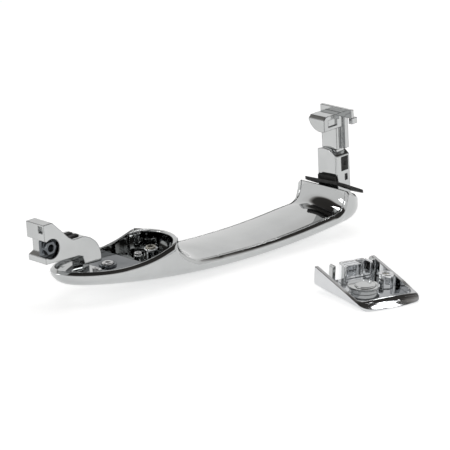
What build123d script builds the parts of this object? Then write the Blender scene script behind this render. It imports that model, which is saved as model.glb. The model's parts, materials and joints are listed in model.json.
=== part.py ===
"""Outside car door handle with its loose end cap, lying face down on a bench, in millimetres.

The handle is drawn in its own frame: X runs from the front hook arm to the rear leg, Z points from
the outer skin towards the door, and Y is across the grip.  The cap is drawn in a frame of its own,
X from its open end to its closed end.  At the end both are laid on the bench, whose top is Z = 0.
"""

from build123d import *
from math import sqrt
import os

os.makedirs("parts", exist_ok=True)

# Bowed grip
BOW_RADIUS = 500.0  # side view, along the grip
BOW_X = 40.0  # station of the bow's lowest point
CROWN_RADIUS = 40.0  # end view, across the grip
HALF_WIDTH = 16.5
NOSE_X, NOSE_LENGTH = -66.0, 29.0  # half ellipse that ends the front foot
TAIL_X, TAIL_LENGTH = 75.0, 14.0  # half ellipse that ends the rear block
SKIN = 2.2  # wall of the outer shell
RIM_BEVEL = 1.5
BACK_SKIN = 2.3  # wall of the inner half
BOTTOM_ROUND = 5.5
HUMP_X, HUMP_Z = -35.5, 24.6  # top of the wall between the front cup and the finger space
SEAT_X, SEAT_Z, SEAT_SLOPE = 73.6, 19.2, -0.5  # sloping seat of the rear leg

# Finger space between the feet
BACK_RADIUS = 427.0
BACK_X, BACK_Z = 33.5, 9.2
HUMP_CENTRE, HUMP_RADIUS = -46.8, 18.0
HUMP_FOOT_ROUND = 10.0
SCOOP_ROUND = 9.0

# Front foot
TRAY_TOP = 18.6
TRAY_THICKNESS = 2.0
TRAY_FRONT, TRAY_REAR = -87.0, -53.0
ARM_HALF = 5.7
STEM_X = -80.4
PIVOT_X, PIVOT_Z = -100.6, 37.3
PIVOT_BORE = 1.6
ARM_SCREW_X = -65.0
FOOT_SCREW_X, FOOT_SCREW_TOP = -46.9, 18.6
SLEEVE_X, SLEEVE_TOP = -39.2, 19.6

# Rear leg
LEG_FRONT, LEG_REAR = 77.0, 86.0
LEG_HALF, LEG_FAR = 6.0, 6.8  # near and far side of the leg
SOCKET_TOP = 35.2
POST_FRONT = 79.0
POST_HALF = 4.8
FLANGE_FRONT = 83.4
HEAD_TOP = 54.0
GASKET_GAP = 0.16

# End cap
CAP_LENGTH, CAP_HALF = 39.0, 16.2
CAP_OPEN_HEIGHT, CAP_SHUT_HEIGHT = 9.7, 3.0
CAP_SKIN, CAP_FLOOR = 1.8, 1.4

# How the two lie on the bench
HANDLE_TILT = -4.0
CAP_AT = (11.1, -85.09, 1.84)
CAP_YAW, CAP_PITCH = -102.0, 3.0


def bow(x, lift=0.0):
    """Height of the bow's centre line at station x, raised by lift."""
    return BOW_RADIUS - sqrt((BOW_RADIUS - lift) ** 2 - (x - BOW_X) ** 2)


def back(x):
    """Height of the finger side of the grip at station x."""
    return BACK_Z + BACK_RADIUS - sqrt(BACK_RADIUS**2 - (x - BACK_X) ** 2)


def seat(x, drop=0.0):
    """Height of the rear leg's seat at station x."""
    return SEAT_Z + SEAT_SLOPE * (x - SEAT_X) - drop


def grip_blank(inset):
    """The bowed and crowned body under its plan outline, with all its outside drawn in by inset."""
    half = HALF_WIDTH - inset
    with BuildPart() as blank:
        with BuildSketch(Plane.XY.offset(-20)):
            with Locations((NOSE_X, 0)):
                Ellipse(NOSE_LENGTH - inset, half)
            with Locations((TAIL_X, 0)):
                Ellipse(TAIL_LENGTH - inset, half)
            with Locations(((NOSE_X + TAIL_X) / 2, 0)):
                Rectangle(TAIL_X - NOSE_X, 2 * half)
        extrude(amount=90)
        reach = 30.0
        rise = CROWN_RADIUS - sqrt(CROWN_RADIUS**2 - reach**2)
        with BuildSketch(Plane.YZ.offset(BOW_X)):
            with BuildLine():
                ThreePointArc((-reach, inset + rise), (0, inset), (reach, inset + rise))
                Polyline((reach, inset + rise), (reach, 70), (-reach, 70), (-reach, inset + rise))
            make_face()
        revolve(axis=Axis((BOW_X, 0, BOW_RADIUS), (0, 1, 0)), mode=Mode.INTERSECT)
        fillet(blank.faces().sort_by(Axis.Z)[0].edges(), BOTTOM_ROUND - inset)
    return blank.part


def below_rim():
    """Everything under the rim of the cup, the hump and the rear seat, seen from the side."""
    with BuildPart() as below:
        with BuildSketch(Plane.XZ):
            with BuildLine():
                Spline((-112, 27.0), (-80, 22.8), (-56, 21.1), (-45.5, 22.2), (HUMP_X, HUMP_Z))
                Polyline(
                    (HUMP_X, HUMP_Z),
                    (61, seat(61)),
                    (95, seat(95)),
                    (95, -20),
                    (-112, -20),
                    (-112, 27.0),
                )
            make_face()
        extrude(amount=40, both=True)
    return below.part


def finger_space(grow):
    """The room for the fingers between the feet, with all its walls moved out by grow."""
    start, end, top = HUMP_CENTRE, SEAT_X + grow, 60.0
    radius = BACK_RADIUS + grow
    centre_z = BACK_Z + BACK_RADIUS

    def low(x):
        return centre_z - sqrt(radius**2 - (x - BACK_X) ** 2)

    with BuildPart() as space:
        with BuildSketch(Plane.XZ):
            with BuildLine():
                ThreePointArc((start, low(start)), (10, low(10)), (end, low(end)))
                Polyline((end, low(end)), (end, top), (start, top), (start, low(start)))
            make_face()
        extrude(amount=HALF_WIDTH + 1, both=True)
        with Locations((HUMP_CENTRE, 0, 0)):
            Cylinder(HUMP_RADIUS - grow, 150, mode=Mode.SUBTRACT)
        hump_foot = HUMP_CENTRE + HUMP_RADIUS - grow
        front = space.edges().sort_by_distance((hump_foot, 0, low(hump_foot)))[0]
        fillet(front, HUMP_FOOT_ROUND + grow)
        rear = space.edges().filter_by(Axis.Y).sort_by_distance((end, 0, low(end)))[0]
        fillet(rear, SCOOP_ROUND + grow)
    return space.part


def slab(x_low, x_high, half, z_low, z_high):
    """A plain block by its faces, symmetric in Y, for trimming one piece against another."""
    with BuildPart() as block:
        with Locations(((x_low + x_high) / 2, 0, (z_low + z_high) / 2)):
            Box(x_high - x_low, 2 * half, z_high - z_low)
    return block.part


def under_seat(x_low, x_high, drop, half):
    """The wedge below the rear seat, drop under it."""
    with BuildPart() as wedge:
        with BuildSketch(Plane.XZ):
            Polygon(
                (x_low, -5),
                (x_high, -5),
                (x_high, seat(x_high, drop)),
                (x_low, seat(x_low, drop)),
                align=None,
            )
        extrude(amount=half, both=True)
    return wedge.part


def screw(head_radius, head_height, shank_radius, shank_length, drive):
    """A pan head screw with a hexagon recess, head up, its bearing face at Z = 0."""
    with BuildPart() as one:
        with BuildSketch():
            Circle(head_radius)
        extrude(amount=head_height)
        fillet(one.edges().group_by(Axis.Z)[-1], head_height * 0.35)
        with BuildSketch(Plane.XY.offset(head_height)):
            RegularPolygon(drive, 6)
        extrude(amount=-head_height * 0.6, mode=Mode.SUBTRACT)
        with BuildSketch():
            Circle(shank_radius)
        extrude(amount=-shank_length)
        chamfer(one.edges().group_by(Axis.Z)[0], shank_radius * 0.3)
    return one.part


blank_outside = grip_blank(0)
blank_inside = grip_blank(SKIN)
rim_side = below_rim()
space_outside = finger_space(0)
space_inside = finger_space(BACK_SKIN)

# Outer shell: the open trough that is seen on the car
BAR_SCREWS_X = (-12.0, 21.0, 54.0)
BAR_LIFT, BAR_THICKNESS = 2.9, 1.8

with BuildPart() as outer_shell:
    add(blank_outside)
    add(rim_side, mode=Mode.INTERSECT)
    tops = outer_shell.faces().filter_by(lambda face: face.normal_at(face.center()).Z > 0.6)
    rim_edges = tops.edges().filter_by(lambda edge: abs(edge.center().Y) > HALF_WIDTH / 2)
    chamfer(rim_edges, RIM_BEVEL)
    add(blank_inside, mode=Mode.SUBTRACT)
    add(space_outside, mode=Mode.SUBTRACT)
    # posts for the two screws of the foot
    for x, radius, top in ((FOOT_SCREW_X, 1.9, FOOT_SCREW_TOP), (SLEEVE_X, 3.2, SLEEVE_TOP)):
        with BuildSketch(Plane.XY.offset(bow(x) + 1)):
            with Locations((x, 0)):
                Circle(radius)
        extrude(amount=top - bow(x) - 1)
    # post under the tray for the arm's screw
    with BuildSketch(Plane.XY.offset(bow(ARM_SCREW_X) + 1)):
        with Locations((ARM_SCREW_X, 0)):
            Circle(3.2)
    extrude(amount=TRAY_TOP - TRAY_THICKNESS - bow(ARM_SCREW_X) - 1)
    # ribs across the deep end of the cup
    for x in (-51.6, -43.0):
        with BuildSketch(Plane.XY.offset(bow(x) + 1)):
            with Locations((x, 0)):
                Rectangle(1.2, 2 * (HALF_WIDTH - 1))
        extrude(amount=3.6)
    # pads under the stiffener bar
    for x in BAR_SCREWS_X:
        with BuildSketch(Plane.XY.offset(bow(x) + 1)):
            with Locations((x, 0)):
                Circle(2.6)
        extrude(amount=BAR_LIFT - 1)
    add(blank_outside, mode=Mode.INTERSECT)
    with Locations((FOOT_SCREW_X, 0, FOOT_SCREW_TOP)):
        Hole(1.0, 7)
    with Locations((SLEEVE_X, 0, SLEEVE_TOP)):
        Hole(2.2, 8.5)
    with Locations((ARM_SCREW_X, 0, TRAY_TOP - TRAY_THICKNESS)):
        Hole(1.25, 3.0)

# Inner half: hump wall, finger side of the grip, scoop and the plate of the rear seat
with BuildPart() as grip_back:
    add(under_seat(SEAT_X - 0.5, 92, 0, 30))
    add(under_seat(SEAT_X - 1, 93, BACK_SKIN, 31), mode=Mode.SUBTRACT)
    add(space_inside)
    add(space_outside, mode=Mode.SUBTRACT)
    add(blank_inside, mode=Mode.INTERSECT)
    add(rim_side, mode=Mode.INTERSECT)

# Steel bar that keeps the hollow grip stiff, with its screws and felt strips
with BuildPart() as stiffener_bar:
    with BuildSketch(Plane.XZ):
        with BuildLine():
            bar_ends = (-19.0, 62.0)
            low = [(x, bow(x, BAR_LIFT)) for x in (bar_ends[0], 20, bar_ends[1])]
            high = [(x, bow(x, BAR_LIFT + BAR_THICKNESS)) for x in (bar_ends[0], 20, bar_ends[1])]
            ThreePointArc(*low)
            Line(low[2], high[2])
            ThreePointArc(*reversed(high))
            Line(high[0], low[0])
        make_face()
    extrude(amount=5.5, both=True)
    fillet(stiffener_bar.edges().filter_by(Axis.Z), 2.0)

with BuildPart() as bar_screws:
    for x in BAR_SCREWS_X:
        with Locations((x, 0, bow(x) + BAR_LIFT + BAR_THICKNESS + 0.05)):
            add(screw(1.9, 0.9, 1.0, BAR_THICKNESS + 1.6, 0.8))

stiffener_bar.part = stiffener_bar.part - bar_screws.part
outer_shell.part = outer_shell.part - bar_screws.part - stiffener_bar.part

with BuildPart() as felt_strips:
    for x in (4.0, 38.0):
        with BuildSketch(Plane.XY.offset(bow(x) + 4)):
            with Locations((x, 0)):
                Rectangle(14, 9)
        extrude(amount=6)
    add(space_inside, mode=Mode.SUBTRACT)
    add(stiffener_bar.part, mode=Mode.SUBTRACT)

# Tray in the front cup: floor under the hook arm
with BuildPart() as front_tray:
    with Locations(((TRAY_FRONT + TRAY_REAR) / 2, 0, TRAY_TOP - TRAY_THICKNESS / 2)):
        Box(TRAY_REAR - TRAY_FRONT, 40, TRAY_THICKNESS)
    with Locations((-63, -7.0, TRAY_TOP - 4), (-63, 7.0, TRAY_TOP - 4)):
        Box(12, 1.4, 6)
    add(blank_inside, mode=Mode.INTERSECT)
    with BuildSketch(Plane.XY.offset(TRAY_TOP)):
        with Locations((ARM_SCREW_X, 0)):
            Circle(4.0)
            Circle(2.9, mode=Mode.SUBTRACT)
    extrude(amount=0.8)
    with Locations((ARM_SCREW_X, 0, TRAY_TOP)):
        Hole(1.3)

# Hook arm of the front foot
NOTCH_DEPTH = 5.0
with BuildPart() as front_arm:
    with BuildSketch(Plane.XZ):
        with BuildLine():
            Polyline(
                (-77.6, 24.6),
                (-82.8, 25.2),
                (-83.6, 29.2),
                (-86.0, 30.1),
                (-104.3, 31.2),
                (-104.3, 33.8),
                (-101.6, 35.0),
                (-101.6, 40.2),
                (-104.3, 41.6),
                (-104.3, 48.8),
                (-99.4, 48.8),
                (-95.5, 44.8),
                (-91.0, 40.0),
                (-88.4, 38.1),
                (-83.0, 38.1),
            )
            ThreePointArc((-83.0, 38.1), (-75.2, 33.2), (-73.3, 24.4))
            Line((-73.3, 24.4), (-77.6, 24.6))
        make_face()
    extrude(amount=ARM_HALF, both=True)
    # slot between the two cheeks, for the rubber pad
    with Locations((-86.2, 0, 37.2)):
        Box(6.4, 6.6, 5.0, mode=Mode.SUBTRACT)
    # pivot recess in the near cheek
    with BuildSketch(Plane.XZ.offset(ARM_HALF)):
        with Locations((PIVOT_X, PIVOT_Z)):
            Circle(4.4)
    extrude(amount=-NOTCH_DEPTH, mode=Mode.SUBTRACT)
    # pocket under the top flange
    with Locations((-104.3, -3.4, 46.4)):
        Box(3.0, 2.8, 3.0, mode=Mode.SUBTRACT)
    # stem down to the tray, with its foot
    with BuildSketch(Plane.XY.offset(TRAY_TOP)):
        with Locations((STEM_X, 0)):
            Rectangle(3.8, 7.0)
    extrude(amount=8.0)
    with BuildSketch(Plane.XY.offset(TRAY_TOP)):
        with Locations((STEM_X + 3.0, 0)):
            RectangleRounded(11.0, 10.0, 2.0)
    extrude(amount=1.4)

with BuildPart() as pivot_bush:
    with BuildSketch(Plane.XZ.offset(ARM_HALF - NOTCH_DEPTH)):
        with Locations((PIVOT_X, PIVOT_Z)):
            Circle(4.4)
    extrude(amount=1.6)
    with BuildSketch(Plane.XZ.offset(ARM_HALF - NOTCH_DEPTH + 1.6)):
        with Locations((PIVOT_X + 0.6, PIVOT_Z)):
            RegularPolygon(3.2, 6)
    extrude(amount=2.2)
    with BuildSketch(Plane.XZ.offset(ARM_HALF)):
        with Locations((PIVOT_X + 0.6, PIVOT_Z)):
            Circle(PIVOT_BORE)
    extrude(amount=-NOTCH_DEPTH, mode=Mode.SUBTRACT)
    add(slab(-103.6, -90, 20, 0, 60), mode=Mode.INTERSECT)

with BuildPart() as arm_pad:
    with Locations((-86.2, 0, 36.7)):
        Box(6.4, 6.6, 4.0)
    with Locations((-86.2, 0, 38.7)):
        Box(6.4, 1.6, 1.4, mode=Mode.SUBTRACT)

with BuildPart() as stem_rivets:
    with Locations((STEM_X + 5.6, -3.0, TRAY_TOP + 1.4), (STEM_X + 5.6, 3.0, TRAY_TOP + 1.4)):
        add(screw(1.4, 0.8, 0.7, 2.4, 0.55))
front_arm.part = front_arm.part - stem_rivets.part - outer_shell.part
front_tray.part = front_tray.part - stem_rivets.part

with BuildPart() as arm_screw:
    with Locations((ARM_SCREW_X, 0, TRAY_TOP)):
        add(screw(2.7, 1.5, 1.25, TRAY_THICKNESS + 2.8, 1.2))

with BuildPart() as foot_screw:
    with Locations((FOOT_SCREW_X, 0, FOOT_SCREW_TOP)):
        add(screw(1.7, 0.9, 1.0, 6.0, 0.8))

with BuildPart() as thread_sleeve:
    with BuildSketch(Plane.XY.offset(SLEEVE_TOP - 6)):
        with Locations((SLEEVE_X, 0)):
            Circle(2.2)
            Circle(1.5, mode=Mode.SUBTRACT)
    extrude(amount=6.6)

# Rear leg: socket, pull post with its head, window pad, latch and screws
WINDOW = (80.3, 85.0, 25.6, 32.4)
SLOT = (82.5, 84.3, 20.6, 23.6)
PAD_DEPTH = 1.6
CORE_BOTTOM = 8.0
LEG_SCREW_LENGTH = 14.0
with BuildPart() as leg_screws:
    for y in (-3.4, 3.4):
        with Locations((81.5, y, CORE_BOTTOM)):
            add(screw(2.0, 1.0, 1.2, LEG_SCREW_LENGTH, 0.9).rotate(Axis.X, 180))

with BuildPart() as leg_socket:
    with BuildSketch(Plane.YZ.offset(LEG_FRONT)):
        with BuildLine():
            Polyline(
                (LEG_FAR, SOCKET_TOP),
                (LEG_FAR, 8),
                (-LEG_HALF, 8),
                (-LEG_HALF, SOCKET_TOP - 2.2),
            )
            ThreePointArc(
                (-LEG_HALF, SOCKET_TOP - 2.2),
                (-0.6, SOCKET_TOP + 0.9),
                (LEG_FAR, SOCKET_TOP),
            )
        make_face()
    extrude(amount=LEG_REAR - LEG_FRONT)
    fillet(leg_socket.edges().filter_by(Axis.Z).group_by(Axis.X)[0], 1.2)
    add(under_seat(70, 92, 0, 30), mode=Mode.SUBTRACT)
    with Locations(((79.6 + 84.8) / 2, 0, 33)):
        Box(5.2, 7.6, 14, mode=Mode.SUBTRACT)
    for low_x, high_x, low_z, high_z in (WINDOW, SLOT):
        with Locations(((low_x + high_x) / 2, -LEG_HALF, (low_z + high_z) / 2)):
            Box(high_x - low_x, 2 * PAD_DEPTH, high_z - low_z, mode=Mode.SUBTRACT)
    add(leg_screws.part, mode=Mode.SUBTRACT)

with BuildPart() as pull_post:
    with Locations(((79.6 + 84.8) / 2, 0, 35)):
        Box(5.2, 7.6, 18)
    with BuildSketch(Plane.XY.offset(SOCKET_TOP + 1.0)):
        with Locations(((POST_FRONT + LEG_REAR) / 2, 0)):
            Rectangle(LEG_REAR - POST_FRONT, 2 * POST_HALF)
        with Locations(((FLANGE_FRONT + LEG_REAR) / 2, 0)):
            Rectangle(LEG_REAR - FLANGE_FRONT, 2 * LEG_HALF)
        with Locations((81.4, -POST_HALF)):
            Rectangle(1.6, 1.6, mode=Mode.SUBTRACT)
    extrude(amount=HEAD_TOP - SOCKET_TOP - 3.0)
    # cross plate of the head, with a nub at its near end
    with Locations((83.3, -1.6, HEAD_TOP)):
        Box(1.8, 19.8, 4.0)
    with Locations((84.3, -10.8, HEAD_TOP - 3.4)):
        Box(3.6, 2.0, 2.8)
    # nose that pulls the lever in the door
    with BuildSketch(Plane.YZ.offset(70.6)) as nose:
        with BuildLine():
            Polyline((-5, 47.0), (-5, HEAD_TOP), (5, HEAD_TOP), (5, 52.0))
            ThreePointArc((5, 52.0), (2.3, 48.2), (-5, 47.0))
        make_face()
    extrude(amount=12.6)
    with BuildSketch(Plane.XZ):
        Polygon((70.6, HEAD_TOP - 1.5), (70.6, HEAD_TOP), (72.1, HEAD_TOP), align=None)
    extrude(amount=10, both=True, mode=Mode.SUBTRACT)
    with Locations((76.4, -5, 50.3)):
        Box(6.0, 1.6, 3.4, mode=Mode.SUBTRACT)

leg_socket.part = leg_socket.part - pull_post.part

with BuildPart() as leg_pad:
    low_x, high_x, low_z, high_z = WINDOW
    with Locations(((low_x + high_x) / 2, -LEG_HALF + PAD_DEPTH / 2, (low_z + high_z) / 2)):
        Box(high_x - low_x, PAD_DEPTH, high_z - low_z)
    with Locations(((low_x + high_x) / 2, -LEG_HALF, (low_z + high_z) / 2)):
        Box(1.4, 1.2, 1.8, mode=Mode.SUBTRACT)

with BuildPart() as leg_latch:
    low_x, high_x, low_z, high_z = SLOT
    with Locations(((low_x + high_x) / 2, -LEG_HALF + PAD_DEPTH / 2 + 0.2, (low_z + high_z) / 2)):
        Box(high_x - low_x, PAD_DEPTH - 0.4, high_z - low_z)

# Core in the rear block that takes the leg's screws
with BuildPart() as rear_core:
    add(blank_inside)
    add(slab(76.8, 86.2, 6.6, CORE_BOTTOM, 40), mode=Mode.INTERSECT)
    add(under_seat(70, 92, BACK_SKIN, 30), mode=Mode.INTERSECT)
    add(space_inside, mode=Mode.SUBTRACT)
    add(leg_screws.part, mode=Mode.SUBTRACT)
grip_back.part = grip_back.part - leg_screws.part

# Rubber seal of the rear leg: a plate over the seat with a lip up the leg's front.
# It sits a little cocked, its near edge lifted.
GASKET_THICKNESS = 1.6
GASKET_HALF = 13.0
GASKET_ROLL = -2.6
SEAT_GAP = 0.7
LIP_THICKNESS, LIP_HEIGHT, LIP_WIDTH = 1.9, 4.8, 10.8
LEG_X, LEG_Y = (LEG_FRONT + LEG_REAR) / 2, (LEG_FAR - LEG_HALF) / 2
with BuildPart() as rear_gasket:
    with BuildSketch():
        with Locations((81.3, 0)):
            RectangleRounded(16.4, 2 * GASKET_HALF, 3.5)
    extrude(amount=40)
    add(under_seat(60, 100, -SEAT_GAP - GASKET_THICKNESS, 30), mode=Mode.INTERSECT)
    add(under_seat(60, 100, -SEAT_GAP, 30), mode=Mode.SUBTRACT)
    with BuildPart(mode=Mode.PRIVATE) as lip:
        with Locations((LEG_FRONT - LIP_THICKNESS / 2, -0.5, 20)):
            Box(LIP_THICKNESS, LIP_WIDTH, 40)
        chamfer(lip.edges().filter_by(Axis.Z).group_by(Axis.X)[0], 0.5)
        add(under_seat(60, 100, -LIP_HEIGHT, 30), mode=Mode.INTERSECT)
        add(under_seat(60, 100, -SEAT_GAP - 0.5, 30), mode=Mode.SUBTRACT)
    add(lip.part)
    with BuildSketch():
        with Locations((LEG_X, LEG_Y)):
            Rectangle(
                LEG_REAR - LEG_FRONT + 2 * GASKET_GAP,
                LEG_HALF + LEG_FAR + 4 * GASKET_GAP,
            )
    extrude(amount=40, mode=Mode.SUBTRACT)
hinge_line = Axis((LEG_X, GASKET_HALF, seat(LEG_X)), (1, 0, 0))
rear_gasket.part = rear_gasket.part.rotate(hinge_line, GASKET_ROLL)

# End cap, in its own frame: open end at -X, closed end at +X, its outer face down
def cap_blank():
    """The cap's wedge: flat underneath, rim falling towards the closed end, rounded beak."""
    half = CAP_LENGTH / 2
    beak = half - 6.5
    with BuildPart() as blank:
        with BuildSketch(Plane.XZ):
            with BuildLine():
                Polyline(
                    (beak, CAP_SHUT_HEIGHT),
                    (-half, CAP_OPEN_HEIGHT),
                    (-half, 0),
                    (half - 4.0, 0),
                )
                Spline(
                    (half - 4.0, 0),
                    (half, 1.2),
                    (beak, CAP_SHUT_HEIGHT),
                    tangents=((1, 0.1), (-1, 0.3)),
                )
            make_face()
        extrude(amount=30, both=True)
        with BuildSketch(Plane.XY.offset(-5)) as plan:
            with BuildLine():
                ThreePointArc((half - 2.6, -CAP_HALF), (half, 0), (half - 2.6, CAP_HALF))
                Polyline(
                    (half - 2.6, CAP_HALF),
                    (-half, CAP_HALF),
                    (-half, -CAP_HALF),
                    (half - 2.6, -CAP_HALF),
                )
            make_face()
            fillet(plan.vertices().group_by(Axis.X)[-1], 6.0)
        extrude(amount=30, mode=Mode.INTERSECT)
        with BuildSketch(Plane.YZ.offset(-40)) as end_view:
            with Locations((0, 10)):
                Rectangle(2 * CAP_HALF, 20)
            fillet(end_view.vertices().group_by(Axis.Y)[0], 3.0)
        extrude(amount=80, mode=Mode.INTERSECT)
    return blank.part


HOUSING_X = -CAP_LENGTH / 2 + 1.2
HOUSING_LOW, HOUSING_HIGH = -4.4, 9.6
BOSS_X, BOSS_Y = -2.0, 9.8
BOSS_HEIGHT = 6.4
DISC_X, DISC_Y = -2.4, -1.8
DISC_RADIUS, DISC_HEIGHT = 7.2, 2.8

with BuildPart() as cap_shell:
    add(cap_blank())
    with BuildSketch(Plane.XY.offset(CAP_FLOOR)) as room:
        with Locations((-5.0, 0)):
            Rectangle(CAP_LENGTH - 4.0, 2 * (CAP_HALF - CAP_SKIN))
        fillet(room.vertices().group_by(Axis.X)[-1], 3.0)
    extrude(amount=20, mode=Mode.SUBTRACT)
    # gussets in the corners of the closed end
    for side in (-1, 1):
        with BuildSketch(Plane.XY.offset(CAP_FLOOR - 0.2)):
            Polygon(
                (14.2, side * 14.6),
                (14.2, side * 9.0),
                (8.0, side * 14.6),
                align=None,
            )
        extrude(amount=1.5)

# Inner wall at the open end, bent forward at both of its ends
with BuildPart() as cap_housing:
    with BuildSketch(Plane.XY.offset(CAP_FLOOR)) as wall:
        with BuildLine() as wall_line:
            FilletPolyline(
                (HOUSING_X + 6.0, HOUSING_LOW),
                (HOUSING_X, HOUSING_LOW),
                (HOUSING_X, HOUSING_HIGH),
                (HOUSING_X + 6.0, HOUSING_HIGH),
                radius=2.0,
            )
        trace(line_width=1.2)
    extrude(amount=8.6)

with BuildPart() as cap_block:
    with Locations((HOUSING_X + 1.6, 2.4, CAP_FLOOR + 4.6)):
        Box(2.0, 7.6, 5.4)
    fillet(cap_block.edges().filter_by(Axis.X), 0.5)

with BuildPart() as cap_clips:
    for y in (-8.4, 13.0):
        with BuildSketch(Plane.YZ.offset(-CAP_LENGTH / 2 + 1.0)):
            with BuildLine():
                Polyline(
                    (y - 0.8, CAP_FLOOR),
                    (y - 0.8, 9.2),
                    (y - 0.1, 10.2),
                    (y + 0.8, 9.6),
                    (y + 0.8, CAP_FLOOR),
                    (y - 0.8, CAP_FLOOR),
                )
            make_face()
        extrude(amount=3.0)

with BuildPart() as cap_boss:
    with BuildSketch(Plane.XY.offset(CAP_FLOOR)):
        with Locations((BOSS_X, BOSS_Y)):
            RegularPolygon(3.6, 8)
    extrude(amount=BOSS_HEIGHT)
    with Locations((BOSS_X, BOSS_Y, CAP_FLOOR + BOSS_HEIGHT)):
        Hole(1.6)

with BuildPart() as cap_insert:
    with BuildSketch(Plane.XY.offset(CAP_FLOOR + 0.6)):
        with Locations((BOSS_X, BOSS_Y)):
            Circle(1.6)
            Circle(1.0, mode=Mode.SUBTRACT)
    extrude(amount=5.0)

# Drum on the cap's floor, with a wider lid and a low dome
with BuildPart() as cap_disc:
    with BuildSketch(Plane.XY.offset(CAP_FLOOR)):
        with Locations((DISC_X, DISC_Y)):
            Circle(DISC_RADIUS - 1.0)
    extrude(amount=DISC_HEIGHT)
    with BuildSketch(Plane.XY.offset(CAP_FLOOR + DISC_HEIGHT - 0.9)):
        with Locations((DISC_X, DISC_Y)):
            Circle(DISC_RADIUS)
    extrude(amount=0.9)
    with BuildSketch(Plane.XY.offset(CAP_FLOOR + DISC_HEIGHT)):
        with Locations((DISC_X + 1.2, DISC_Y + 0.2)):
            Ellipse(4.2, 5.0)
    extrude(amount=0.6)
    fillet(cap_disc.edges().group_by(Axis.Z)[-1], 0.4)

handle_pieces = {
    "outer_shell": outer_shell,
    "grip_back": grip_back,
    "stiffener_bar": stiffener_bar,
    "bar_screws": bar_screws,
    "felt_strips": felt_strips,
    "front_tray": front_tray,
    "front_arm": front_arm,
    "pivot_bush": pivot_bush,
    "arm_pad": arm_pad,
    "stem_rivets": stem_rivets,
    "arm_screw": arm_screw,
    "foot_screw": foot_screw,
    "thread_sleeve": thread_sleeve,
    "leg_socket": leg_socket,
    "pull_post": pull_post,
    "leg_pad": leg_pad,
    "leg_latch": leg_latch,
    "leg_screws": leg_screws,
    "rear_core": rear_core,
    "rear_gasket": rear_gasket,
}
cap_pieces = {
    "cap_shell": cap_shell,
    "cap_housing": cap_housing,
    "cap_block": cap_block,
    "cap_clips": cap_clips,
    "cap_boss": cap_boss,
    "cap_insert": cap_insert,
    "cap_disc": cap_disc,
}

# Lay both on the bench, with the origin under the middle of the whole group
for piece in handle_pieces.values():
    piece.part = piece.part.rotate(Axis.Y, HANDLE_TILT)
for piece in cap_pieces.values():
    turned = piece.part.rotate(Axis.Y, CAP_PITCH).rotate(Axis.Z, CAP_YAW)
    piece.part = turned.translate(CAP_AT)
pieces = handle_pieces | cap_pieces
lifts = []
for group in (handle_pieces, cap_pieces):
    floor = min(piece.part.bounding_box().min.Z for piece in group.values())
    lifts.append(-floor)
    for piece in group.values():
        piece.part = piece.part.translate((0, 0, -floor))
boxes = [piece.part.bounding_box() for piece in pieces.values()]
middle_x = (min(box.min.X for box in boxes) + max(box.max.X for box in boxes)) / 2
middle_y = (min(box.min.Y for box in boxes) + max(box.max.Y for box in boxes)) / 2
shift = Vector(-middle_x, -middle_y, 0)
for name, piece in pieces.items():
    piece.part = piece.part.translate(shift)
    piece.part.label = name
    export_step(piece.part, f"parts/{name}.step")
print("row frame shift", shift, "lift of the handle", lifts)
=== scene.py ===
"""Looks for a chromed outside car door handle and its loose end cap.

The outer shell and the finger side of the grip are drawn again from the handle's own formulas,
in its own frame in millimetres (X along the grip, Z towards the door), and laid on the bench in
metres. The other pieces are the CAD's own, with rounded edges.
"""

import json
import math

import bmesh
import bpy
import numpy as np
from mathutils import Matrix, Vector


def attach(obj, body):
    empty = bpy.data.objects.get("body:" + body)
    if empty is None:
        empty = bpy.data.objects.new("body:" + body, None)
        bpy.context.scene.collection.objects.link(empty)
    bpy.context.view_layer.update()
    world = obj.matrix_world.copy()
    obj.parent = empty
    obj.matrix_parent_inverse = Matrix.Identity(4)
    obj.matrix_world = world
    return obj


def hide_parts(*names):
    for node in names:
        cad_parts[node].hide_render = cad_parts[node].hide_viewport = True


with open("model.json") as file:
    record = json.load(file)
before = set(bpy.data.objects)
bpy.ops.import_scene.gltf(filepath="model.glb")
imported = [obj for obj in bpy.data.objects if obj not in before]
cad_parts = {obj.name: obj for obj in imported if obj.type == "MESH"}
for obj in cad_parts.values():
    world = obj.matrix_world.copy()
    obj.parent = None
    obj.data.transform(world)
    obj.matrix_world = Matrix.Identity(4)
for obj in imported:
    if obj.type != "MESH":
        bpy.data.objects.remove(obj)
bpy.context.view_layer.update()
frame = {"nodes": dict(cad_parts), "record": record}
nodes = frame["nodes"]

MM = 0.001
TILT = math.radians(-4.0)  # how the handle leans on the bench, about Y
SHIFT = np.array((9.50648, 44.4304, -1.57228))  # from the handle's frame to the bench's, mm

# The handle's form, as in the CAD, in millimetres
BOW_RADIUS, BOW_X, CROWN = 500.0, 40.0, 40.0  # outer face: bowed along X, crowned across
HALF = 16.5  # half the grip's width
NOSE_X, NOSE = -66.0, 29.0  # half ellipse that ends the front foot
TAIL_X, TAIL = 75.0, 14.0  # half ellipse that ends the rear block
SKIN, BEVEL, CORNER = 2.2, 1.45, 5.5  # wall, bevel outside the rim, corner under the side
BACK_RADIUS, BACK_X, BACK_Z = 427.0, 33.5, 9.2  # finger side
BACK_HALF = 14.1  # half the finger side's width
HUMP_X, HUMP_RADIUS, HUMP_WALL = -46.8, 18.0, 2.3  # wall between the cup and the grip
HUMP_FOOT, SCOOP = 10.0, 9.0  # rounds at the grip's two ends
SEAT_X, SEAT_Z, SEAT_SLOPE = 73.6, 19.2, -0.5  # seat of the rear leg
LINE_END = 61.0  # where the straight rim over the grip meets the seat's line
CREST_X, CREST_Z = -35.5, 24.6
RIM = ((-112, 27.0), (-80, 22.8), (-56, 21.1), (-45.5, 22.2), (CREST_X, CREST_Z))
STEEP = 5.0  # slope that stands in for an upright wall


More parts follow.
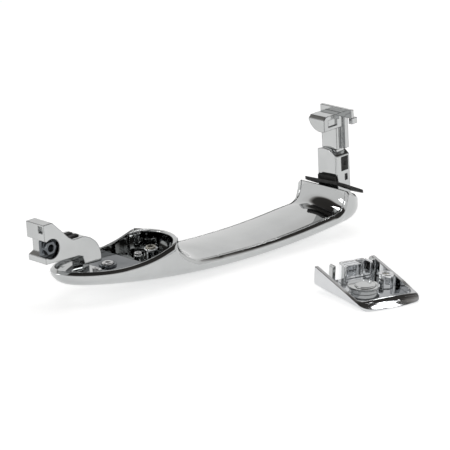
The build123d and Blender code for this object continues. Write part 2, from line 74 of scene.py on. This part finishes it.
def natural_spline(points):
    """The natural cubic through the points, as a function of x."""
    x, z = (np.array(v, float) for v in zip(*points))
    h = np.diff(x)
    n = len(x)
    a = np.eye(n)
    b = np.zeros(n)
    for i in range(1, n - 1):
        a[i, i - 1 : i + 2] = h[i - 1], 2 * (h[i - 1] + h[i]), h[i]
        b[i] = 6 * ((z[i + 1] - z[i]) / h[i] - (z[i] - z[i - 1]) / h[i - 1])
    m = np.linalg.solve(a, b)

    def at(t):
        t = np.asarray(t, float)
        i = np.clip(np.searchsorted(x, t) - 1, 0, n - 2)
        p, q = x[i + 1] - t, t - x[i]
        cubic = (m[i] * p**3 + m[i + 1] * q**3) / (6 * h[i])
        left, right = z[i] / h[i] - m[i] * h[i] / 6, z[i + 1] / h[i] - m[i + 1] * h[i] / 6
        return cubic + left * p + right * q

    return at


cup_rim = natural_spline(RIM)


def soft_min(a, b, k=0.25):
    """The lower of two heights, with the corner where they cross rounded."""
    low = np.minimum(a, b)
    return low - k * np.log(np.exp(-(a - low) / k) + np.exp(-(b - low) / k))


def bottom(x, y, lift=0.0):
    """Height of the crowned and bowed outer face, raised by lift."""
    section = lift + CROWN - np.sqrt(CROWN**2 - y**2)
    return BOW_RADIUS - np.sqrt((BOW_RADIUS - section) ** 2 - (x - BOW_X) ** 2)


def back(x):
    """Height of the finger side of the grip."""
    return BACK_Z + BACK_RADIUS - np.sqrt(BACK_RADIUS**2 - (x - BACK_X) ** 2)


def seat(x):
    """Height of the rear leg's seat."""
    return SEAT_Z + SEAT_SLOPE * (x - SEAT_X)


def rim(x):
    """Height of the cup's rim, the hump's crest and the rear seat."""
    x = np.asarray(x, float)
    line = CREST_Z + (x - CREST_X) * (seat(LINE_END) - CREST_Z) / (LINE_END - CREST_X)
    behind_cup = np.where(x < LINE_END, line, seat(x))
    return np.where(x < CREST_X, cup_rim(np.minimum(x, CREST_X)), behind_cup)


def round_foot(gap, radius):
    """Height of a fillet at a distance gap from the wall it meets; steep behind the wall."""
    inside = np.clip(radius - gap, 0.0, radius)
    return radius - np.sqrt(radius**2 - inside**2) + 3.0 * np.clip(-gap, 0, None)


def crown(x, y):
    """How far the finger side stands over its flat form: crowned across, more so in the scoop."""
    radius = np.interp(x, (20.0, 55.0, 66.0, 72.0), (80.0, 70.0, 52.0, 55.0))
    middle = np.interp(x, (-28.0, -10.0, 62.0, 70.0), (0.0, 0.7, 0.7, 0.4))
    ends = np.interp(x, (-32.0, -12.0, 70.0, 73.2), (0.15, 1.0, 1.0, 0.0))
    return (middle - y * y / (2 * radius)) * ends


def moved(line, distance):
    """A line of (x, z) points moved into the grip, square to itself."""
    along = np.gradient(line, axis=0)
    along /= np.linalg.norm(along, axis=1)[:, None] + 1e-9
    return line + np.stack((along[:, 1], -along[:, 0]), 1) * distance[:, None]


def grip_line(stations=70):
    """The grip's flat form and its scoop, from the hump to just under the seat."""
    start, end = -40.0, SEAT_X - SCOOP
    turn = np.linspace(0, math.radians(86), 16)[1:]
    x = np.concatenate((np.linspace(start, end, stations), end + SCOOP * np.sin(turn)))
    rise = np.concatenate((np.zeros(stations), SCOOP * (1 - np.cos(turn))))
    return np.stack((x, back(x) + rise), 1)


edge_line = grip_line()
edge_line = moved(edge_line, -crown(edge_line[:, 0], BACK_HALF))


def top(x, y):
    """Height of the shell's edge: the rim, cut down by the room for the fingers."""
    x = np.asarray(x, float)
    well_inside = -20.0
    out = np.where(x < HUMP_X, well_inside, np.hypot(x - HUMP_X, y) - HUMP_RADIUS)
    behind = STEEP * np.clip(x - edge_line[-1, 0], 0, None)
    room = np.interp(x, *edge_line.T) + behind + round_foot(out, HUMP_FOOT)
    return soft_min(rim(x), room)


def laid(points):
    """Points of the handle's own frame, in millimetres, laid on the bench in metres."""
    x, y, z = np.moveaxis(np.asarray(points, float), -1, 0)
    c, s = math.cos(TILT), math.sin(TILT)
    return (np.stack((x * c + z * s, y, -x * s + z * c), -1) + SHIFT) * MM


# ---------------------------------------------------------------- materials


def node_material(name):
    material = bpy.data.materials.new(name)
    material.use_nodes = True
    tree = material.node_tree
    return material, tree, tree.nodes["Principled BSDF"]


def wire(tree, *links):
    for a, b in links:
        tree.links.new(a, b)


def noise(tree, scale, detail=4.0, rough=0.5, stretch=(1, 1, 1)):
    """Noise in object space, in features per metre; returns its value socket."""
    place = tree.nodes.new("ShaderNodeTexCoord")
    grid = tree.nodes.new("ShaderNodeMapping")
    grid.inputs["Scale"].default_value = stretch
    n = tree.nodes.new("ShaderNodeTexNoise")
    n.inputs["Scale"].default_value = scale
    n.inputs["Detail"].default_value = detail
    n.inputs["Roughness"].default_value = rough
    wire(
        tree,
        (place.outputs["Object"], grid.inputs["Vector"]),
        (grid.outputs[0], n.inputs["Vector"]),
    )
    return n.outputs["Fac"]


def spread(tree, value, low, high, start=0.3, end=0.7):
    """Maps a noise value to a range."""
    m = tree.nodes.new("ShaderNodeMapRange")
    m.inputs["From Min"].default_value = start
    m.inputs["From Max"].default_value = end
    m.inputs["To Min"].default_value = low
    m.inputs["To Max"].default_value = high
    wire(tree, (value, m.inputs["Value"]))
    return m.outputs[0]


def two_tones(tree, value, dark, light, start=0.35, end=0.65):
    ramp = tree.nodes.new("ShaderNodeValToRGB")
    ramp.color_ramp.elements[0].position = start
    ramp.color_ramp.elements[1].position = end
    ramp.color_ramp.elements[0].color = (*dark, 1)
    ramp.color_ramp.elements[1].color = (*light, 1)
    wire(tree, (value, ramp.inputs["Fac"]))
    return ramp.outputs["Color"]


def relief(tree, shader, height, depth, edge_radius=0.0):
    """Bump of a given depth in metres, over edges rounded in shading by edge_radius."""
    bump = tree.nodes.new("ShaderNodeBump")
    bump.inputs["Strength"].default_value = 1.0
    bump.inputs["Distance"].default_value = depth
    wire(tree, (height, bump.inputs["Height"]), (bump.outputs[0], shader.inputs["Normal"]))
    if edge_radius:
        bevel = tree.nodes.new("ShaderNodeBevel")
        bevel.samples = 6
        bevel.inputs["Radius"].default_value = edge_radius
        wire(tree, (bevel.outputs[0], bump.inputs["Normal"]))


def edge_shade(tree, tone, width):
    """Darkens a colour in a thin line along every edge: painted shade standing in for the dark
    reflection that rounded chrome edges show.
    """
    bevel = tree.nodes.new("ShaderNodeBevel")
    bevel.samples = 8
    bevel.inputs["Radius"].default_value = width
    flat = tree.nodes.new("ShaderNodeNewGeometry")
    agree = tree.nodes.new("ShaderNodeVectorMath")
    agree.operation = "DOT_PRODUCT"
    mix = tree.nodes.new("ShaderNodeMix")
    mix.data_type = "RGBA"
    # the near-black of the painted shade along the edges
    mix.inputs["A"].default_value = (0.04, 0.04, 0.045, 1)
    wire(
        tree,
        (bevel.outputs[0], agree.inputs[0]),
        (flat.outputs["Normal"], agree.inputs[1]),
        (spread(tree, agree.outputs["Value"], 0.0, 1.0, 0.90, 0.99), mix.inputs["Factor"]),
        (tone, mix.inputs["B"]),
    )
    return mix.outputs["Result"]


def plated(name, dark, light, rough, waviness, edge_radius, edge_shade_width=0.0):
    """Chrome plate: cloudy polish, faint unevenness of the casting under it, and, where asked,
    painted shade in a thin line along the edges.
    """
    material, tree, shader = node_material(name)
    shader.inputs["Metallic"].default_value = 1.0
    tone = two_tones(tree, noise(tree, 60, 3), dark, light)
    wire(
        tree,
        (edge_shade(tree, tone, edge_shade_width) if edge_shade_width else tone, shader.inputs["Base Color"]),
        (spread(tree, noise(tree, 130, 5, 0.6), *rough), shader.inputs["Roughness"]),
    )
    relief(tree, shader, noise(tree, 90, 2, 0.4), waviness, edge_radius)
    return material


def turned_metal(name, dark, light, rough):
    """Zinc or tin over steel or brass, with fine tool marks."""
    material, tree, shader = node_material(name)
    shader.inputs["Metallic"].default_value = 1.0
    wire(
        tree,
        (two_tones(tree, noise(tree, 700, 4), dark, light), shader.inputs["Base Color"]),
        (spread(tree, noise(tree, 1500, 3), *rough), shader.inputs["Roughness"]),
    )
    relief(tree, shader, noise(tree, 2500, 3, 0.5, (1, 1, 6)), 0.00001, 0.00015)
    return material


def moulded(name, dark, light, rough, grain, depth, sheen=0.0):
    """Moulded rubber or plastic: dark, grainy, a little dusty."""
    material, tree, shader = node_material(name)
    shader.inputs["Specular IOR Level"].default_value = 0.35
    shader.inputs["Sheen Weight"].default_value = sheen
    wire(
        tree,
        (two_tones(tree, noise(tree, 300, 6, 0.65), dark, light), shader.inputs["Base Color"]),
        (spread(tree, noise(tree, 500, 4), *rough), shader.inputs["Roughness"]),
    )
    relief(tree, shader, noise(tree, grain, 4, 0.6), depth, 0.0002)
    return material


looks = {
    "chrome": plated(
        "bright_chrome", (0.48, 0.49, 0.49), (0.52, 0.53, 0.53), (0.03, 0.06),
        waviness=0.00002, edge_radius=0.0004, edge_shade_width=0.0003,
    ),
    "satin_chrome": plated(
        "cast_chrome", (0.47, 0.48, 0.48), (0.52, 0.53, 0.53), (0.05, 0.09),
        waviness=0.00003, edge_radius=0.0007, edge_shade_width=0.00055,
    ),
    # painted shade: a darker copy of the chrome for the tray inside the cup and the pivot bush
    "dim_chrome": plated(
        "chrome_in_painted_shade", (0.07, 0.08, 0.09), (0.16, 0.17, 0.18), (0.05, 0.10),
        waviness=0.00004, edge_radius=0.0006,
    ),
    "steel": turned_metal("zinc_steel", (0.40, 0.40, 0.41), (0.62, 0.62, 0.62), (0.16, 0.32)),
    "brass": turned_metal("tinned_brass", (0.52, 0.48, 0.40), (0.66, 0.64, 0.58), (0.14, 0.26)),
    "rubber": moulded(
        "black_rubber", (0.004, 0.004, 0.004), (0.014, 0.014, 0.013), (0.45, 0.7),
        grain=1800, depth=0.00006,
    ),
    "plastic": moulded(
        "black_plastic", (0.006, 0.006, 0.007), (0.02, 0.02, 0.022), (0.3, 0.5),
        grain=2600, depth=0.00003,
    ),
    "felt": moulded(
        "grey_felt", (0.03, 0.03, 0.032), (0.09, 0.09, 0.095), (0.85, 1.0),
        grain=3200, depth=0.0003, sheen=0.4,
    ),
    # painted reflection: a near-white copy of the chrome for the cap's housing and block
    "pale_chrome": plated(
        "pale_chrome", (0.80, 0.81, 0.82), (0.88, 0.89, 0.90), (0.05, 0.10),
        waviness=0.00003, edge_radius=0.0004, edge_shade_width=0.0004,
    ),
    # painted light: a lighter copy of the chrome, so that the cap's shell and boss read brighter
    "cap_chrome": plated(
        "cap_chrome", (0.58, 0.59, 0.60), (0.63, 0.64, 0.65), (0.03, 0.06),
        waviness=0.00002, edge_radius=0.0004, edge_shade_width=0.0003,
    ),
}

# ---------------------------------------------------------------- mesh helpers


def finish_mesh(name, bm, body, slot, replaced=(), sharp=None, look=None):
    """Turns a bmesh in metres into a shown piece."""
    mesh = bpy.data.meshes.new(name)
    bmesh.ops.recalc_face_normals(bm, faces=bm.faces)
    for face in bm.faces:
        face.smooth = True
    if sharp is not None:
        for edge in bm.edges:
            if len(edge.link_faces) == 2 and edge.calc_face_angle(0) > math.radians(sharp):
                edge.smooth = False
    bm.to_mesh(mesh)
    bm.free()
    piece = bpy.data.objects.new(name, mesh)
    bpy.context.scene.collection.objects.link(piece)
    mesh.materials.append(looks[look or slot])
    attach(piece, body)
    if replaced:
        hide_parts(*replaced)
    return piece


def even_normals(piece):
    modifier = piece.modifiers.new("even normals", "WEIGHTED_NORMAL")
    modifier.keep_sharp = True


def add_grid(bm, points, loop_rows=False):
    """A sheet of quads over an array of points [row, column], in metres."""
    rows, columns = points.shape[:2]
    verts = [[bm.verts.new(points[i, j]) for j in range(columns)] for i in range(rows)]
    for i in range(rows if loop_rows else rows - 1):
        a, b = verts[i], verts[(i + 1) % rows]
        for j in range(columns - 1):
            bm.faces.new((a[j], b[j], b[j + 1], a[j + 1]))


def add_turned(bm, centre, profile, steps=40):
    """A turned form on the handle's Z axis: profile is (radius, height) pairs."""
    angles = np.linspace(0, 2 * math.pi, steps, endpoint=False)
    ring = np.array([[(r * math.cos(t), r * math.sin(t), z) for r, z in profile] for t in angles])
    add_grid(bm, laid(ring + np.array((*centre, 0.0))), loop_rows=True)


def add_block(bm, low, high, width):
    """A block of the handle's own frame with rounded edges."""
    low, high = np.array(low, float), np.array(high, float)
    made = bmesh.ops.create_cube(bm, size=1.0)["verts"]
    for v in made:
        v.co = Vector((low + high) / 2 + np.array(v.co) * (high - low))
    edges = list(dict.fromkeys(e for v in made for e in v.link_edges))
    out = bmesh.ops.bevel(bm, geom=edges, offset=width, segments=3, profile=0.5, affect="EDGES")
    touched = {v for f in out["faces"] for v in f.verts} | {v for v in made if v.is_valid}
    for v in touched:
        v.co = Vector(laid(np.array(v.co)))


CAP_TURN = math.radians(-102)
CAP_OUT = np.array((math.cos(CAP_TURN), math.sin(CAP_TURN)))  # the way the cap's lip points
CAP_ALONG = np.array((-CAP_OUT[1], CAP_OUT[0]))
LIP_MIDDLE = np.array((0.0129, -0.0554))
LIP_RADIUS, LIP_LEAN = 0.3, math.tan(math.radians(6))
LIP_START, LIP_END, LIP_FADE = -0.0033, 0.0040, 0.012  # from the lip's middle, outwards
LIP_THIN = 0.0014  # points lower than this move less, and the underside stays
CUTS_ALONG = np.arange(-0.015, 0.020, 0.0015)
CUTS_OUT = np.concatenate((
    np.arange(-0.0133, LIP_START, 0.002),
    np.arange(LIP_START, LIP_END, 0.0012),
))


def crown_lip(bm):
    """Bends the cap's lip: crowned along its length, leaning down from its inner edge on."""

    def measured(point):
        flat = np.array(point[:2]) - LIP_MIDDLE
        return flat @ CAP_ALONG, flat @ CAP_OUT

    def cut(direction, distance):
        near = [v for v in bm.verts if measured(v.co)[1] > LIP_START - LIP_FADE]
        faces = dict.fromkeys(f for v in near for f in v.link_faces)
        edges = dict.fromkeys(e for f in faces for e in f.edges)
        verts = dict.fromkeys(v for f in faces for v in f.verts)
        spot = (*(LIP_MIDDLE + direction * distance), 0.0)
        bmesh.ops.bisect_plane(
            bm, geom=[*faces, *edges, *verts], plane_co=spot, plane_no=(*direction, 0.0), dist=1e-6
        )

    for distance in CUTS_ALONG:
        cut(CAP_ALONG, distance)
    for distance in CUTS_OUT:
        cut(CAP_OUT, distance)
    for vert in bm.verts:
        u, w = measured(vert.co)
        faded = np.clip((w - LIP_START + LIP_FADE) / LIP_FADE, 0.0, 1.0)
        faded = faded * faded * (3 - 2 * faded)
        drop = 0.5 * u * u / LIP_RADIUS * faded + max(w - LIP_START, 0.0) * LIP_LEAN
        vert.co.z -= drop * np.clip(vert.co.z / LIP_THIN, 0.0, 1.0)


ROUNDED_FROM, SHARP_FROM = 28, 35  # degrees: edges that get rounded, edges that shade sharp


def softened(node, body, slot, width, look=None):
    """A CAD node drawn again with flat faces joined and its edges rounded."""
    bm = bmesh.new()
    bm.from_mesh(nodes[node].data)
    bmesh.ops.remove_doubles(bm, verts=bm.verts, dist=2e-6)
    bmesh.ops.dissolve_limit(
        bm, angle_limit=math.radians(0.8), use_dissolve_boundaries=False,
        verts=bm.verts, edges=bm.edges,
    )
    limit = math.radians(ROUNDED_FROM)
    edges = [e for e in bm.edges if len(e.link_faces) == 2 and e.calc_face_angle(0) > limit]
    bmesh.ops.bevel(
        bm, geom=edges, offset=width, segments=3, profile=0.5, affect="EDGES", clamp_overlap=True
    )
    if node == "cap_shell":
        crown_lip(bm)
    even_normals(finish_mesh(node + "_soft", bm, body, slot, (node,), SHARP_FROM, look))


# ---------------------------------------------------------------- outer shell


ELLIPSE_INSET = 5.0  # the ends keep their curve up to here, then close towards the keel
WALL_FOOT, WALL_STEP = 0.25, 0.5  # room left under the bevel, least height of the inner wall
# The rim's section, as (inset from the outline, drop below the rim)
RIM_SECTION = (
    (0.05, BEVEL - 0.02), (0.2, BEVEL - 0.22), (0.7, BEVEL - 0.72), (1.15, 0.32), (1.35, 0.14),
    (1.6, 0.03), (1.85, 0.0), (2.02, 0.03), (2.14, 0.12), (SKIN, 0.3),
)
# Posts for the screws of the front foot, as (x, radius, hole's radius, top)
POSTS = ((-46.9, 1.9, 1.0, 18.6), (-39.2, 3.2, 2.2, 19.6), (-65.0, 3.2, 1.3, 16.6))
POST_HOLE_DEPTH, POST_ROOT = 5.0, 0.5
RIBS = (-51.6, -43.0)
RIB_HALF_THICKNESS, RIB_REACH, RIB_HEIGHT, RIB_ROOT, RIB_EDGE = 0.6, 10.5, 3.4, 0.3, 0.25


def spaced(*spans):
    """Stations along X: each span is (start, end, step)."""
    return np.concatenate([np.arange(start, end, step) for start, end, step in spans])


def outline_columns():
    """The plan outline as columns: (x, reach in X, angle, side); side is None at the ends."""
    straight = spaced((NOSE_X, -40, 1.0), (-40, -10, 0.5), (-10, 58, 1.4), (58, TAIL_X, 0.5))
    swing = np.linspace(0, math.pi, 73)[1:-1]
    columns = [(x, 0.0, 0.0, -1.0) for x in straight]
    columns += [(TAIL_X, TAIL, t, None) for t in np.concatenate(([0], swing, [math.pi]))]
    columns += [(x, 0.0, 0.0, 1.0) for x in straight[::-1]]
    columns += [(NOSE_X, -NOSE, t, None) for t in swing[::-1]]
    return columns


def inset_point(column, r):
    """Plan position of a column at a distance r inside the outline."""
    x, reach, t, side = column
    if side is not None:
        return x, side * (HALF - r)
    length = abs(reach)
    if r <= ELLIPSE_INSET:
        a = length - r
    else:
        last = (length - ELLIPSE_INSET, max(length - HALF, 0.0))
        a = np.interp(r, (ELLIPSE_INSET, HALF), last)
    return x + math.copysign(a, reach) * math.sin(t), -(HALF - r) * math.cos(t)


def shell_profile(column):
    """One column of the shell, from the keel out, over the rim and back inside."""
    points = []

    def at(r, z_of):
        x, y = inset_point(column, r)
        points.append((x, y, float(z_of(x, y))))

    def inner(x, y):
        return bottom(x, y, SKIN)

    # outside: keel, corner, side
    x0, y0 = inset_point(column, 0.0)
    edge = float(top(x0, y0))
    corner = min(CORNER, (edge - BEVEL - float(bottom(x0, y0))) * 0.92)
    for r in np.linspace(HALF, CORNER, 12):
        at(r, bottom)
    for t in np.linspace(math.pi / 2, 0, 11)[1:]:
        rise = corner * (1 - math.sin(t))
        at(CORNER * (1 - math.cos(t)), lambda x, y: bottom(x, y) + rise)
    for z in np.linspace(points[-1][2], edge - BEVEL - WALL_FOOT, 8)[1:]:
        points.append((x0, y0, float(z)))
    for r, drop in RIM_SECTION:
        at(r, lambda x, y: top(x, y) - drop)
    # inside: wall, corner, floor
    x1, y1 = inset_point(column, SKIN)
    inner_corner = min(CORNER - SKIN, corner)
    inner_low = float(inner(x1, y1)) + inner_corner
    start = points[-1][2]
    for z in np.linspace(start, min(inner_low, start - WALL_STEP), 6)[1:]:
        points.append((x1, y1, float(z)))
    for t in np.linspace(0, math.pi / 2, 6)[1:]:
        rise = inner_corner * (1 - math.sin(t))
        at(SKIN + (CORNER - SKIN) * (1 - math.cos(t)), lambda x, y: inner(x, y) + rise)
    for r in np.linspace(CORNER, HALF, 8)[1:]:
        at(r, inner)
    return points


def post_profile(radius, hole, floor, height):
    """A screw post: rounded foot, rounded top edge and the hole down its middle."""
    return [
        (radius + 0.5, floor), (radius + 0.15, floor + 0.9), (radius, floor + 2.0),
        (radius, height - 0.4), (radius - 0.12, height - 0.1), (radius - 0.35, height),
        (hole + 0.2, height), (hole, height - 0.2), (hole, height - POST_HOLE_DEPTH),
    ]


def make_shell():
    bm = bmesh.new()
    points = np.array([shell_profile(column) for column in outline_columns()])
    add_grid(bm, laid(points), loop_rows=True)
    bmesh.ops.remove_doubles(bm, verts=bm.verts, dist=3e-6)
    for x, radius, hole, height in POSTS:
        floor = float(bottom(x, 0.0, SKIN)) - POST_ROOT
        add_turned(bm, (x, 0.0), post_profile(radius, hole, floor, height))
    for x in RIBS:
        floor = float(bottom(x, 0.0, SKIN))
        low = (x - RIB_HALF_THICKNESS, -RIB_REACH, floor - RIB_ROOT)
        high = (x + RIB_HALF_THICKNESS, RIB_REACH, floor + RIB_HEIGHT)
        add_block(bm, low, high, RIB_EDGE)
    finish_mesh("shell_skin", bm, "handle", "chrome", ("outer_shell",), 50)


# ---------------------------------------------------------------- finger side of the grip

EDGE_ROUND, EDGE_SKIRT = 0.35, 1.8  # rounded long edges, and the strip that goes down behind
CREST_INNER_ROUND, CREST_OUTER_ROUND, SEAT_ROUND = 0.6, 0.8, 0.75
HUMP_DROP = 0.3  # the hump's ends sink no more than this into the rim
SCOOP_TURN = math.radians(80)


def rounded(corner, before, after, radius, steps=6):
    """Points of a round corner between two straight runs."""
    corner, before, after = (np.array(p, float) for p in (corner, before, after))
    a = corner + (before - corner) / np.linalg.norm(before - corner) * radius
    b = corner + (after - corner) / np.linalg.norm(after - corner) * radius
    t = np.linspace(0, 1, steps)[:, None]
    return list((1 - t) ** 2 * a + 2 * t * (1 - t) * corner + t**2 * b)


def hump_reach(y, radius=HUMP_RADIUS):
    """Where a circle round the hump's centre stands at one Y."""
    return HUMP_X + math.sqrt(radius**2 - y * y)


def back_profile(y):
    """The grip's finger side at one Y: cup wall, crest, hump, grip, scoop and rear seat."""
    x_in, x_out = hump_reach(y, HUMP_RADIUS - HUMP_WALL), hump_reach(y)
    floor = float(bottom(x_in, y, SKIN)) + 0.2
    crest_in, crest_out = (x_in, float(rim(x_in))), (x_out, float(rim(x_out)))
    foot_height = float(back(x_out)) + HUMP_FOOT
    points = [(x_in, z) for z in np.linspace(floor, crest_in[1] - 0.7, 8)[:-1]]
    points += rounded(crest_in, (x_in, floor), crest_out, CREST_INNER_ROUND)
    points += rounded(crest_out, crest_in, (x_out, crest_out[1] - 5), CREST_OUTER_ROUND)
    points += [(x_out, z) for z in np.linspace(crest_out[1] - 1.0, foot_height, 5)]
    for t in np.linspace(0, math.pi / 2, 14)[1:]:
        x = hump_reach(y, HUMP_RADIUS + HUMP_FOOT * (1 - math.cos(t)))
        points.append((x, float(back(x)) + HUMP_FOOT * (1 - math.sin(t))))
    end = SEAT_X - SCOOP
    points += [(x, float(back(x))) for x in np.linspace(points[-1][0], end, 60)[1:]]
    for t in np.linspace(0, SCOOP_TURN, 14)[1:]:
        x = end + SCOOP * math.sin(t)
        points.append((x, float(back(x)) + SCOOP * (1 - math.cos(t))))
    corner = (SEAT_X, float(seat(SEAT_X)))
    far = TAIL_X + (TAIL - SKIN) * math.sqrt(max(1 - (y / (HALF - SKIN)) ** 2, 0.0)) - 0.15
    far_height = float(seat(far))
    points += rounded(corner, points[-1], (far, far_height), SEAT_ROUND, 8)
    points += [(x, float(seat(x))) for x in np.linspace(points[-1][0], far - 0.4, 10)[1:]]
    points += [(far - 0.12, far_height - 0.06), (far, far_height - 0.3), (far, far_height - 2.5)]
    return np.array(points)


def make_back():
    bm = bmesh.new()
    inner_half = BACK_HALF - EDGE_ROUND
    turn = np.linspace(0, math.pi / 2, 6)[1:]
    sides = [(inner_half + EDGE_ROUND * math.sin(t), EDGE_ROUND * (1 - math.cos(t))) for t in turn]
    sides.append((BACK_HALF, EDGE_ROUND + EDGE_SKIRT))
    flat = [(y, 0.0) for y in np.linspace(-inner_half, inner_half, 45)]
    rows = []
    for y, drop in [(-y, drop) for y, drop in reversed(sides)] + flat + sides:
        line = back_profile(y)
        on_hump = line[:, 0] < hump_reach(y) + 1.5
        line = moved(line, np.where(on_hump, min(drop, HUMP_DROP), drop) - crown(line[:, 0], y))
        rows.append(np.stack((line[:, 0], np.full(len(line), y), line[:, 1]), 1))
    add_grid(bm, laid(np.array(rows)))
    finish_mesh("grip_skin", bm, "handle", "chrome", ("grip_back",), 60)


make_shell()
make_back()

# ---------------------------------------------------------------- cast and moulded pieces

# Each: CAD node, body, material slot, width of its rounded edges in metres, another look
SOFT = (
    ("front_arm", "handle", "satin_chrome", 0.0005),
    # the tray and the pivot bush take the darker chrome of painted shade
    ("front_tray", "handle", "chrome", 0.0002, "dim_chrome"),
    ("leg_socket", "handle", "satin_chrome", 0.0004),
    ("pull_post", "handle", "satin_chrome", 0.0004),
    ("pivot_bush", "handle", "satin_chrome", 0.0002, "dim_chrome"),
    ("arm_pad", "handle", "rubber", 0.0003),
    ("leg_pad", "handle", "rubber", 0.0003),
    ("rear_gasket", "gasket", "rubber", 0.0004),
    # the cap's shell and boss take the lighter chrome of painted light
    ("cap_shell", "end_cap", "chrome", 0.0005, "cap_chrome"),
    # the cap's housing and block take the near-white chrome of painted reflection
    ("cap_housing", "end_cap", "chrome", 0.0003, "pale_chrome"),
    ("cap_block", "end_cap", "chrome", 0.0002, "pale_chrome"),
    ("cap_clips", "end_cap", "chrome", 0.0002),
    ("cap_boss", "end_cap", "chrome", 0.0004, "cap_chrome"),
)
for entry in SOFT:
    softened(*entry)

slots = {part["node"]: part["material_slot"] for part in frame["record"]["subparts"]}
for node, shown in nodes.items():
    shown.data.materials.clear()
    shown.data.materials.append(looks[slots[node]])
    for face in shown.data.polygons:
        face.use_smooth = True
    even_normals(shown)

# ---------------------------------------------------------------- studio


FLOOR_HALF, FLOOR_DROP = 6.0, 0.00005


def make_floor():
    """The pale paper the parts lie on; its own faint glow keeps the shadows light."""
    material, tree, shader = node_material("paper_floor")
    shader.inputs["Roughness"].default_value = 0.9
    shader.inputs["Specular IOR Level"].default_value = 0.1
    shader.inputs["Emission Color"].default_value = (1, 1, 1, 1)
    shader.inputs["Emission Strength"].default_value = 0.48
    tone = two_tones(tree, noise(tree, 30, 4), (0.88, 0.88, 0.88), (0.9, 0.9, 0.9))
    wire(tree, (tone, shader.inputs["Base Color"]))
    bm = bmesh.new()
    bmesh.ops.create_grid(bm, x_segments=8, y_segments=8, size=FLOOR_HALF)
    mesh = bpy.data.meshes.new("floor")
    bm.to_mesh(mesh)
    bm.free()
    mesh.materials.append(material)
    floor = bpy.data.objects.new("floor", mesh)
    floor.location.z = -FLOOR_DROP
    bpy.context.scene.collection.objects.link(floor)


def softbox(name, spot, aim, size, power, shine):
    """A soft light that either shows in the chrome or lights the matt surfaces."""
    light = bpy.data.lights.new(name, "AREA")
    light.shape = "RECTANGLE"
    light.size, light.size_y = size
    light.energy = power
    box = bpy.data.objects.new(name, light)
    box.location = spot
    box.rotation_euler = (Vector(aim) - Vector(spot)).to_track_quat("-Z", "Y").to_euler()
    box.visible_diffuse = not shine
    box.visible_glossy = shine
    bpy.context.scene.collection.objects.link(box)


# The sky, as (height on the unit sphere, grey)
SKY_BANDS = ((0.0, 0.92), (0.50, 0.92), (0.62, 0.82), (0.67, 0.25), (0.70, 0.05), (1.0, 0.03))


def make_world():
    """A light band round the horizon under a dark, slightly warm ceiling."""
    world = bpy.data.worlds.new("studio")
    world.use_nodes = True
    tree = world.node_tree
    direction = tree.nodes.new("ShaderNodeTexCoord")
    split = tree.nodes.new("ShaderNodeSeparateXYZ")
    ramp = tree.nodes.new("ShaderNodeValToRGB")
    stops = ramp.color_ramp.elements
    for height, _ in SKY_BANDS[1:-1]:
        stops.new(height)
    for stop, (_, grey) in zip(stops, SKY_BANDS):
        warm = 1.0 - 0.12 * (1.0 - grey)
        stop.color = (grey, grey * (0.5 + 0.5 * warm), grey * warm, 1)
    background = tree.nodes["Background"]
    wire(
        tree,
        (direction.outputs["Generated"], split.inputs[0]),
        (split.outputs["Z"], ramp.inputs["Fac"]),
        (ramp.outputs["Color"], background.inputs["Color"]),
    )
    bpy.context.scene.world = world


AZIMUTH, ELEVATION, DISTANCE = math.radians(44.7), math.radians(16.0), 1.101
TARGET = Vector((0.01547, 0.04417, 0.01627))
LENS, SENSOR = 192.0, 36.0


def make_camera():
    forward = Vector((
        math.sin(AZIMUTH) * math.cos(ELEVATION),
        math.cos(AZIMUTH) * math.cos(ELEVATION),
        -math.sin(ELEVATION),
    ))
    data = bpy.data.cameras.new("camera")
    data.lens, data.sensor_width = LENS, SENSOR
    data.clip_start, data.clip_end = 0.05, 30.0
    camera = bpy.data.objects.new("camera", data)
    camera.location = TARGET - forward * DISTANCE
    camera.rotation_mode = "QUATERNION"
    camera.rotation_quaternion = forward.to_track_quat("-Z", "Y")
    bpy.context.scene.collection.objects.link(camera)
    bpy.context.scene.camera = camera


make_floor()
make_world()
make_camera()
softbox("overhead", (0.1, 0.0, 1.3), (0.05, 0.0, 0), size=(1.3, 1.1), power=6.0, shine=False)
softbox("overhead_shine", (-0.2, 0.37, 1.25), (0, 0, 0), size=(0.36, 0.26), power=2.0, shine=True)
softbox("right_shine", (0.92, 0.31, 1.03), (0, 0, 0), size=(0.08, 0.10), power=0.2, shine=True)
softbox("left_shine", (-1.02, 0.58, 0.40), (0, 0, 0), size=(0.3, 0.22), power=1.5, shine=True)
bpy.context.scene.view_settings.view_transform = "Standard"
bpy.context.scene.view_settings.exposure = 0.0
